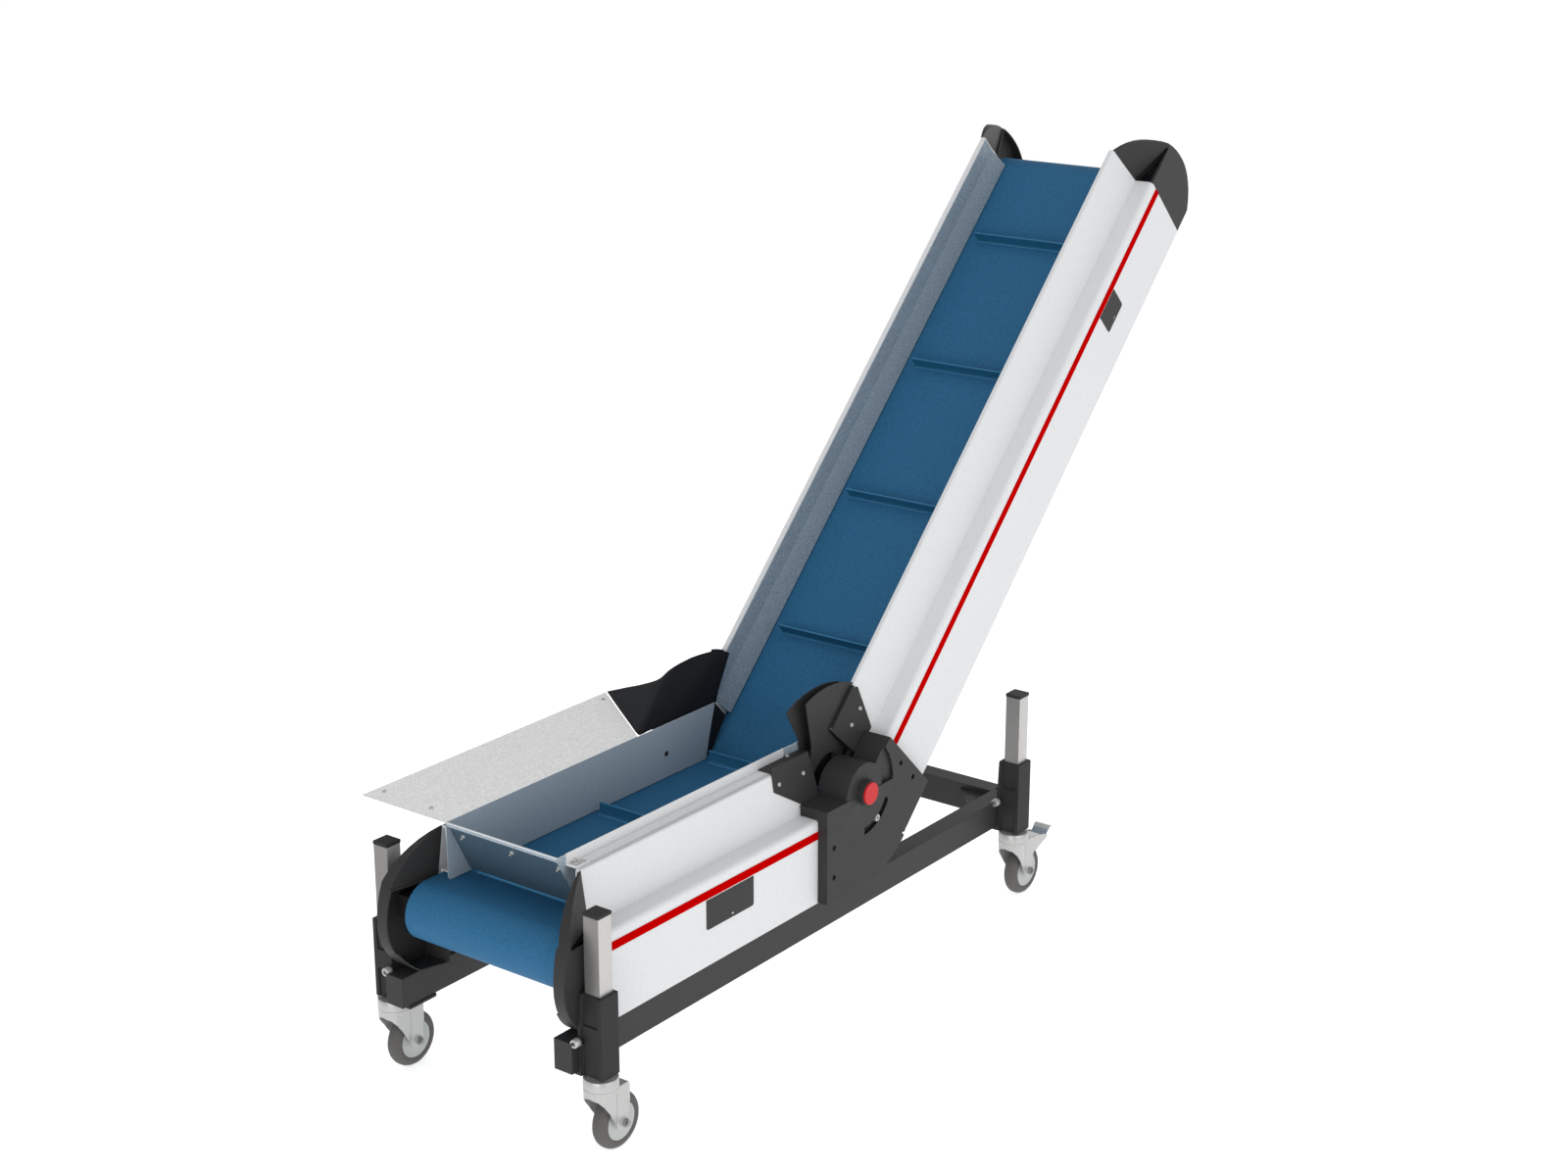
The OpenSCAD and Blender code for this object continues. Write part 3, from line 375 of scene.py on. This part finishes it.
# Fasteners: a turned shape about an axis, given as radius and height pairs
def turned(name, at, axis, outline, mat, body, sides=24, smooth=40):
    turn = Vector((0, 0, 1)).rotation_difference(Vector(axis).normalized()).to_matrix()
    verts, faces = [], []
    for r, h in outline:
        for k in range(sides):
            a = 2 * math.pi * k / sides
            verts.append(Vector(at) + turn @ Vector((r * math.cos(a), r * math.sin(a), h)))
    for i in range(len(outline) - 1):
        for k in range(sides):
            j = (k + 1) % sides
            faces.append((i * sides + k, i * sides + j, (i + 1) * sides + j, (i + 1) * sides + k))
    faces.append(tuple(range(sides)))
    faces.append(tuple(range((len(outline) - 1) * sides, len(outline) * sides)))
    return make(name, verts, faces, mat, body=body, smooth=smooth)


def screw(name, at, axis, r, body, mat="zinc_plate"):
    """A pan head with a round socket."""
    turned(name, at, axis, [(r, 0), (r, 0.28 * r), (0.86 * r, 0.62 * r), (0.6 * r, 0.76 * r), (0.38 * r, 0.78 * r),
                            (0.36 * r, 0.25 * r)], mat, body, 20)


def hex_nut(name, at, axis, r, h, body, mat="zinc_plate"):
    turned(name, at, axis, [(r, 0), (r, 0.85 * h), (0.88 * r, h), (0.5 * r, h), (0.48 * r, 1.25 * h),
                            (0.4 * r, 1.4 * h)], mat, body, 6, 25)


WALL_TILT = math.atan2(213 - 195, 316 - 201)


def wall_out(s, n, place, side):
    """Point and normal on the sloped outer face of a side wall, on its tab."""
    y = 213 - (n - 201) * math.tan(WALL_TILT) + 3.0
    at = place(s, side * y, n)
    normal = (place(s, side * (y + math.cos(WALL_TILT)), n + math.sin(WALL_TILT)) - at).normalized()
    return at, normal


for k, (s, n) in enumerate([(118.7, 292.4), (207.6, 294.1)]):
    at, normal = wall_out(s, n, low, -1)
    screw(f"tab_screw_{k + 1}", at, normal, 5.2, "root")
for side, tag in ((-1, "near"), (1, "far")):
    for k, (s, n) in enumerate([(176.3, 271.7), (131.4, 272.7)]):
        at, normal = wall_out(s, n, up, side)
        screw(f"arm_tab_screw_{tag}_{k + 1}", at, normal, 5.2, "incline")
screw("leaf_screw", (803, -160, 586.6), (0, -0.3, 1), 5.0, "root")

# Front plate, flange and guard fasteners
for k, y in enumerate((119, -18, -147)):
    at = (53.5, y, 578)
    screw(f"plate_screw_{k + 1}", at, (-0.89, 0, -0.45), 5.0, "root")
    turned(f"plate_stud_{k + 1}", at, (-0.89, 0, -0.45), [(2.2, 0), (2.2, 9), (1.6, 10)], "zinc_plate", "root", 12)
for k, (x, y) in enumerate(((78, 375), (72.4, 229.5), (790, 372))):
    screw(f"flange_screw_{k + 1}", (x, y, 606.4), (0, 0, 1), 4.6, "root")
turned("guard_screw", (757, 153.2, 532.6), (0, -1, 0), [(6.5, 0), (6.5, 0.8), (5.6, 1.5), (3.0, 1.6), (2.8, 0.9)],
       "dark_steel", "root")

# Bolt in the slot of each knee
SLOT_R, BOLT_ANGLE, BOLT_Y = 97, math.radians(-57), 277
for side, tag in ((-1, "near"), (1, "far")):
    at = (PIVOT.x + SLOT_R * math.cos(BOLT_ANGLE), side * BOLT_Y, PIVOT.z + SLOT_R * math.sin(BOLT_ANGLE))
    turned(f"slot_bolt_{tag}", at, (0, side, 0), [(9.2, 0), (9.2, 9.4), (8.4, 10.6), (4.6, 10.9), (4.4, 6.5)],
           "zinc_plate", "incline", 6)


# Plates: an outline drawn in two axes, extruded along the third
def prism(name, outline, low_side, high_side, axis, mat, body, bevel=0.3, place=None, smooth=35):
    verts = []
    for level in (low_side, high_side):
        for a, b in outline:
            q = {"x": (level, a, b), "y": (a, level, b), "z": (a, b, level)}[axis]
            verts.append(place(*q) if place else q)
    count = len(outline)
    faces = [tuple(range(count)), tuple(range(2 * count - 1, count - 1, -1))]
    faces += [(i, (i + 1) % count, count + (i + 1) % count, count + i) for i in range(count)]
    return make(name, verts, faces, mat, body=body, bevel=bevel, smooth=smooth)


# Infeed corner bracket on the near wall's top, with two dark lines along the strip's edge that stand for the profile's
# edge and the painted shadow in the gap beside it
prism("corner_bracket", [(74, -176), (74, -156), (98, -150), (98, -162), (106, -162), (106, -176)], 582.6, 584.4, "z",
      "zinc_plate", "root")
for k, (x, y) in enumerate(((81, -168), (91, -156))):
    screw(f"bracket_screw_{k + 1}", (x, y, 584.4), (0, 0, 1), 4.6, "root")
for tag, y in (("outer", -190.2), ("inner", -184.6)):
    prism(f"strip_edge_shadow_line_{tag}", [(y - 0.5, 582.3), (y - 0.4, 583.3), (y + 0.4, 583.3), (y + 0.5, 582.3)], 66, 825, "x",
          "bolt_steel", "root", bevel=0.0)

# Dark plates close the profiles' ends behind the end caps
for body, place, end, word in (("root", low, 861.0, "tail"), ("incline", up, 1750.0, "head")):
    for side, tag in ((-1, "near"), (1, "far")):
        for part, outline in (("low", [(184, 5), (257, 5), (257, 118), (184, 118)]),
                              ("mid", [(200, 119), (227, 119), (227, 172), (200, 172)]),
                              ("top", [(200, 173), (257, 173), (257, 196), (200, 196)])):
            prism(f"end_plate_{word}_{tag}_{part}", [(side * y, n) for y, n in outline], end + 0.4, end + 2.0, "x",
                  "black_plastic", body, place=place)
            # A thin dark sheet lies in each end cap's channel as painted shade.
            # Known fault: made once for each end plate, so these two exist three times in the same place
            prism(f"cap_channel_shade_{word}_{tag}", [(end + 3, side * 223), (end + 3, side * 254), (end + 92, side * 258)],
                  201.1, 201.7, "z", "shaded_plastic", body, bevel=0.0, place=place)
            prism(f"cap_rib_{word}_{tag}",
                  [(end + 2, side * 215), (end + 2, side * 221), (end + 104, side * 261), (end + 100, side * 261)],
                  200.8, 206, "z", "black_casting", body, bevel=0.8, place=place)


# The belt's near edge on the tail drum, as far as the end cap
def half_turn(radius, start):
    """Points of a half circle about the tail drum's axis, from the start angle of 90 or -90 degrees to the other."""
    angles = [math.radians(start - 2 * start * i / 32) for i in range(33)]
    return [(LOW_END + radius * math.cos(a), DRUM_N + radius * math.sin(a)) for a in angles]


EDGE_S = LOW_END - 42
edge = [(EDGE_S, BELT_N)] + half_turn(TURN_R, 90) + [(EDGE_S, BELT_N - 2 * TURN_R)]
edge += [(EDGE_S, BELT_N - 2 * TURN_R + BELT_T)] + half_turn(TURN_R - BELT_T, -90) + [(EDGE_S, BELT_N - BELT_T)]
prism("belt_edge", edge, -219, -BELT_W / 2 - 6, "y", "blue_belt", "root", bevel=0.0, place=low)

# Web of the moving knee half between its blade and the wall
prism("arm_web_near", [(46, 213.5), (91.4, 213.5), (91.4, 270), (76, 270), (46, 264)], -188.0, -185.2, "y",
      "black_casting", "incline", bevel=0.0, place=up)
prism("arm_web_low_near", [(66, 194), (91.4, 194), (91.4, 236), (66, 236)], -204.0, -199.0, "y",
      "black_casting", "incline", bevel=0.0, place=up)
prism("wall_end_near", [(-176.5, 213), (-211, 213), (-195, 316), (-176.5, 316)], 89.6, 91.7, "x",
      "black_casting", "incline", bevel=0.0, place=up)

# Bare sheet liners inside the discharge walls, in darker blue-grey as painted shade and reflection inside the trough
for side, tag in ((-1, "near"), (1, "far")):
    prism(f"liner_{tag}", [(side * y, n) for y, n in ((180.6, 315), (179.8, 315), (178.8, 268.5), (163.8, 215.2),
                                                      (163.8, 214.0), (165.0, 214.0), (179.6, 268))],
          145 if side < 0 else 104, 1746, "x", "painted_shade_sheet", "incline", bevel=0.0, place=up, smooth=8)

# Leg holders: clamp screws
for end, x in (("front", 0.0), ("rear", WHEELBASE)):
    for side, tag in ((-1, "near"), (1, "far")):
        at = (x - 33.2, side * 266, 262)
        turned(f"holder_boss_{end}_{tag}", at, (-1, 0, 0), [(11, 0), (11, 2.5), (9.5, 4)], "black_casting", "root", 28)
        turned(f"holder_screw_{end}_{tag}", (x - 36.5, side * 266, 262), (-1, 0, 0),
               [(9.4, 0), (9.4, 13), (8.4, 14.2), (5.0, 14.2), (4.8, 7)], "zinc_plate", "root", 32)

# The near guard's outer strip and the front plate's top edge are coated white as painted highlights on the bare sheet,
# and a white cover lies on the strip along the near wall's top
prism("guard_highlight_near",
      [(-155.3, 583.2), (-155.3, 606.2), (-152.6, 606.2), (-152.6, 604.8), (-154.6, 604.8), (-154.6, 583.2)],
      66, 796, "x", "white_coating", "root", bevel=0.3)
prism("front_edge_highlight", [(37.8, 603.8), (37.8, 606.2), (41.2, 606.2), (41.2, 603.8)], -155.2, 152.6, "y",
      "white_coating", "root", bevel=0.3)
prism("strip_cover", [(-190.0, 582.3), (-190.0, 582.9), (-155.5, 582.9), (-155.5, 582.3)], 108, 825, "x",
      "white_coating", "root", bevel=0.0)


# Far wing: a smooth sheet between its lower edge on the flange and an S-shaped top edge
def curve(points, count):
    """Points evenly spread over a smooth curve through the given ones."""
    pts = [Vector(q) for q in points]
    pts = [2 * pts[0] - pts[1]] + pts + [2 * pts[-1] - pts[-2]]
    out = []
    for k in range(count):
        u = k / (count - 1) * (len(pts) - 3)
        i = min(int(u), len(pts) - 4)
        f = u - i
        a, b, c, d = pts[i:i + 4]
        out.append(0.5 * (2 * b + (c - a) * f + (2 * a - 5 * b + 4 * c - d) * f * f + (3 * b - a - 3 * c + d) * f ** 3))
    return out


WING_TOP = [(995, 155, 711), (975, 158, 722), (950, 165, 727), (904, 185, 722), (868, 195, 715), (838, 207, 702),
            (816, 222, 682), (818, 276, 656.5), (826, 327, 636), (834.7, 397, 607.6)]
WING_LOW = [(938, 155, 604), (868, 155, 604.8), (798, 155, 605.6), (728, 155, 606.4), (690, 155, 606.9),
            (664, 157, 607.3), (702, 213, 607.3), (746, 275, 607.3), (790, 336, 607.3), (834, 396.5, 607.3)]
COLUMNS, ROWS = 46, 12
top, low_edge = curve(WING_TOP, COLUMNS), curve(WING_LOW, COLUMNS)
verts = [low_edge[k].lerp(top[k], r / ROWS) for k in range(COLUMNS) for r in range(ROWS + 1)]
faces = [(k * (ROWS + 1) + r, (k + 1) * (ROWS + 1) + r, (k + 1) * (ROWS + 1) + r + 1, k * (ROWS + 1) + r + 1)
         for k in range(COLUMNS - 1) for r in range(ROWS)]
wing = make("wing", verts, faces, "shaded_plastic", smooth=60)
solid = wing.modifiers.new("solid", "SOLIDIFY")
solid.thickness = 2.6 * MM
solid.offset = 0
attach(wing, "root")
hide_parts("wing_far")
web = [(12, 114), (12, 118), (26, 152), (30, 147), (17, 108), (54, 68.5), (-1, -6.5), (-23, -13.5), (-11, 28.5),
       (4, 106)]
prism("wing_web", [(PIVOT.x + a, PIVOT.z + b) for a, b in web], 154.8, 157.8, "y", "shaded_plastic", "root")


# Castors: swivel head, pressed fork with a rounded front, axle nuts, tyre, wheel centre and brake pedal
def spun(name, at, outline, mat, body, sides=96, smooth=40):
    """A closed outline of radius and distance pairs turned about an axis along y."""
    verts = [Vector(at) + Vector((r * math.cos(a), h, r * math.sin(a)))
             for r, h in outline for a in [2 * math.pi * k / sides for k in range(sides)]]
    count = len(outline)
    faces = [(i * sides + k, i * sides + (k + 1) % sides, (i + 1) % count * sides + (k + 1) % sides,
              (i + 1) % count * sides + k) for i in range(count) for k in range(sides)]
    return make(name, verts, faces, mat, body=body, smooth=smooth)


def bezier(a, b, c, count):
    return [((1 - f) ** 2 * a[0] + 2 * f * (1 - f) * b[0] + f * f * c[0],
             (1 - f) ** 2 * a[1] + 2 * f * (1 - f) * b[1] + f * f * c[1])
            for f in [k / count for k in range(count + 1)]]


TRAIL, WHEEL_R, HEAD_Z = 42, 62.5, 150
SKIRT_R, FOLD, PLATE_Y, SHEET = 36.3, (20.0, 24.0), 24.0, 2.4
half_path = [(SKIRT_R * math.cos(a), SKIRT_R * math.sin(a))
             for a in [math.radians(180 - 52 * k / 10) for k in range(11)]]
half_path += bezier(half_path[-1], (-7.0, 32.5), FOLD, 10)[1:]
SKIRT_LOW = [(0.0, 141.0), (0.3, 136.0), (0.5, 124.0), (0.7, 105.0), (0.85, 84.0), (1.0, 63.0)]
PLATE = [(20, 150), (20, 63), (23.5, 55.5), (29.5, 50), (37, 47.2), (45, 47.4), (51.5, 50.5), (55.5, 56), (57, 64),
         (57, 94), (61, 106), (61, 145), (57, 150)]
TYRE = [(41.8, 13.5), (42.2, 16.6), (45.5, 17.9), (50.0, 17.7), (54.5, 16.0), (58.3, 12.8), (60.9, 8.8), (62.2, 4.4),
        (62.5, 0)]
CENTRE = [(6.1, 19.0), (14.0, 19.0), (15.5, 17.4), (16.5, 13.4), (19.0, 12.6), (34.0, 13.6), (38.0, 15.2), (41.7, 15.4)]


def skirt_low(f):
    for (a, za), (b, zb) in zip(SKIRT_LOW, SKIRT_LOW[1:]):
        if f <= b:
            g = (f - a) / (b - a)
            return za + (zb - za) * g
    return SKIRT_LOW[-1][1]


def fork(end, tag, x, y, side):
    body = f"castor_{end}_{tag}"
    count = len(half_path)
    plan = [(a, -b, 1 - i / (count - 1)) for i, (a, b) in enumerate(reversed(half_path))]
    plan += [(a, b, i / (count - 1)) for i, (a, b) in enumerate(half_path)][1:]
    verts, faces = [], []
    for i, (a, b, f) in enumerate(plan):
        before, after = plan[max(0, i - 1)], plan[min(len(plan) - 1, i + 1)]
        d = Vector((after[0] - before[0], after[1] - before[1])).normalized()
        inner = Vector((d.y, -d.x)) * SHEET
        low_z = skirt_low(f)
        verts += [(x + a, y + b, low_z), (x + a, y + b, HEAD_Z), (x + a + inner.x, y + b + inner.y, HEAD_Z),
                  (x + a + inner.x, y + b + inner.y, low_z)]
    for i in range(len(plan) - 1):
        for k in range(4):
            faces.append((4 * i + k, 4 * i + (k + 1) % 4, 4 * i + 4 + (k + 1) % 4, 4 * i + 4 + k))
    shell = make(f"fork_skirt_{end}_{tag}", verts, faces, "zinc_plate", body=body, smooth=35)
    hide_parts(f"fork_{end}_{tag}")
    for s, word in ((-1, "minus"), (1, "plus")):
        prism(f"fork_plate_{end}_{tag}_{word}", [(x + a, z) for a, z in PLATE], y + s * (PLATE_Y - SHEET),
              y + s * PLATE_Y, "y", "zinc_plate", body, bevel=0.5)
        # A dark line along each fold between the skirt and the side plate, as painted shade in the fold.
        prism(f"fork_seam_{end}_{tag}_{word}", [(x + 19.6, 72), (x + 19.6, 147), (x + 20.6, 147), (x + 20.6, 72)],
              y + s * 23.8, y + s * 24.2, "y", "bolt_steel", body, bevel=0.0)
    prism(f"fork_top_{end}_{tag}", [(x + 18, y - 21.6), (x + 18, y + 21.6), (x + 57, y + 21.6), (x + 57, y - 21.6)],
          147.2, 149.9, "z", "zinc_plate", body)
    turned(f"swivel_ring_{end}_{tag}", (x, y, 149.4), (0, 0, 1),
           [(20, 0), (36.2, 0), (37, 0.8), (37, 6.6), (36.3, 7.1), (36.3, 7.7), (37, 8.2), (37, 29.2), (36, 30.4),
            (20, 30.4)], "zinc_plate", body, 72)
    turned(f"axle_{end}_{tag}", (x + TRAIL, y - 24, WHEEL_R), (0, 1, 0), [(5.9, 0), (5.9, 48)], "zinc_plate", body, 24)
    for out, word in ((1, "outer"), (-1, "inner")):
        face = y + side * out * PLATE_Y
        turned(f"washer_{end}_{tag}_{word}", (x + TRAIL, face, WHEEL_R), (0, side * out, 0),
               [(11.5, 0), (11.5, 1.3), (10.6, 1.7)], "zinc_plate", body)
        hex_nut(f"axle_nut_{end}_{tag}_{word}", (x + TRAIL, face + side * out * 1.5, WHEEL_R), (0, side * out, 0),
                9.6, 6.8, body, "bolt_steel")
        for ring in range(3):
            at = (x + TRAIL, face + side * out * (8.4 + 1.5 * ring), WHEEL_R)
            turned(f"thread_{end}_{tag}_{word}_{ring + 1}", at, (0, side * out, 0),
                   [(4.6, 0), (5.4, 0.5), (4.6, 1.0)], "bolt_steel", body, 20)
    wheel = f"wheel_{end}_{tag}"
    tyre = spun(f"tyre_{end}_{tag}_round", (x + TRAIL, y, WHEEL_R), TYRE + [(r, -h) for r, h in reversed(TYRE[:-1])],
                "grey_tyre", wheel)
    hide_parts(f"tyre_{end}_{tag}")
    centre = spun(f"centre_{end}_{tag}", (x + TRAIL, y, WHEEL_R), CENTRE + [(r, -h) for r, h in reversed(CENTRE)],
                  "grey_plastic", wheel, 72)
    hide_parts(f"hub_{end}_{tag}")


PEDAL_FACE = [(104, 129), (122, 131), (133, 141.4), (131.8, 143.2), (121, 133.4), (104, 131.4)]
PEDAL_LIP = [(132.4, 140.4), (140, 147.0), (146, 146.2), (150, 143.0), (151.2, 144.6), (147.4, 148.6), (139, 149.8),
             (130.6, 142.2)]
PEDAL_TOP = [(57, 146.4), (92, 141.5), (92, 143.7), (57, 148.6)]
PEDAL_ARM = [(60.6, 108), (60.6, 145), (64, 148.4), (110, 139), (123, 134), (124, 127), (88, 114), (72, 107)]
for end, x in (("front", 0.0), ("rear", WHEELBASE)):
    for side, tag in ((-1, "near"), (1, "far")):
        y = side * LEG_Y
        fork(end, tag, x, y, side)
        if end == "rear":
            body = f"castor_rear_{tag}"
            # The pedal's face takes the darker blue-grey sheet as a painted reflection.
            for part, outline, half, mat, bevel in (("face", PEDAL_FACE, 21.5, "painted_shade_sheet", 0.3),
                                                    ("lip", PEDAL_LIP, 22.5, "zinc_plate", 0.5),
                                                    ("top", PEDAL_TOP, 21.6, "zinc_plate", 0.4)):
                prism(f"pedal_{part}_{tag}", [(x + a, z) for a, z in outline], y - half, y + half, "y", mat, body,
                      bevel=bevel)
            for s, word in ((-1, "minus"), (1, "plus")):
                prism(f"pedal_arm_{tag}_{word}", [(x + a, z) for a, z in PEDAL_ARM], y + s * 21.7, y + s * PLATE_Y, "y",
                      "zinc_plate", body, bevel=0.4)

# Floor, light and camera
FLOOR_HALF, FLOOR_Z = 500, -0.0005
floor_mesh = bpy.data.meshes.new("floor")
floor_mesh.from_pydata([(a * FLOOR_HALF, b * FLOOR_HALF, FLOOR_Z) for a, b in ((-1, -1), (1, -1), (1, 1), (-1, 1))],
                       [], [(0, 1, 2, 3)])
floor = bpy.data.objects.new("floor", floor_mesh)
bpy.context.scene.collection.objects.link(floor)
floor_mat = bpy.data.materials.new("pale_floor")
floor_mat.use_nodes = True
floor_shader = floor_mat.node_tree.nodes["Principled BSDF"]
floor_shader.inputs["Base Color"].default_value = (0.93, 0.93, 0.93, 1)
floor_shader.inputs["Roughness"].default_value = 0.9
floor_shader.inputs["Specular IOR Level"].default_value = 0.1
floor_shader.inputs["Emission Color"].default_value = (1, 1, 1, 1)
floor_shader.inputs["Emission Strength"].default_value = 0.60
floor_mesh.materials.append(floor_mat)

world = bpy.data.worlds.new("studio")
bpy.context.scene.world = world
world.use_nodes = True
world.node_tree.nodes["Background"].inputs["Color"].default_value = (1, 1, 1, 1)
world.node_tree.nodes["Background"].inputs["Strength"].default_value = 0.45


def area(name, at, to, power, width, depth):
    light = bpy.data.lights.new(name, "AREA")
    light.energy = power
    light.shape = "RECTANGLE"
    light.size = width
    light.size_y = depth
    obj = bpy.data.objects.new(name, light)
    obj.location = at
    obj.rotation_euler = (Vector(to) - Vector(at)).to_track_quat("-Z", "Y").to_euler()
    bpy.context.scene.collection.objects.link(obj)


area("key", (0.4, -5.5, 2.4), (1.1, 0.0, 0.7), 92, 5.0, 3.5)
area("top", (0.6, 0.2, 4.6), (0.6, 0.0, 0.6), 26, 4.0, 4.0)
area("back", (1.5, 5.5, 2.6), (1.1, 0.0, 0.7), 50, 5.0, 3.5)
area("rear", (6.0, 0.5, 2.0), (1.5, 0.0, 0.7), 35, 4.0, 3.0)
area("front", (-4.5, -1.5, 1.8), (0.6, 0.0, 0.6), 75, 3.5, 3.0)

# The camera's place in metres and its angles, from the fit to the photograph
CAMERA_AT = (-3.4756867, -3.3750976, 2.7091553)
camera_data = bpy.data.cameras.new("camera")
camera_data.sensor_width = 36.0
camera_data.lens = 58.86
camera = bpy.data.objects.new("camera", camera_data)
bpy.context.scene.collection.objects.link(camera)
yaw, pitch = 0.645663394, 0.312082601
forward = Vector((math.cos(yaw) * math.cos(pitch), math.sin(yaw) * math.cos(pitch), -math.sin(pitch)))
right = Vector((math.sin(yaw), -math.cos(yaw), 0))
rise = right.cross(forward)
turn = Matrix((right, rise, -forward)).transposed()
camera.matrix_world = Matrix.Translation(CAMERA_AT) @ turn.to_4x4()
bpy.context.scene.camera = camera
bpy.context.scene.view_settings.view_transform = "Standard"
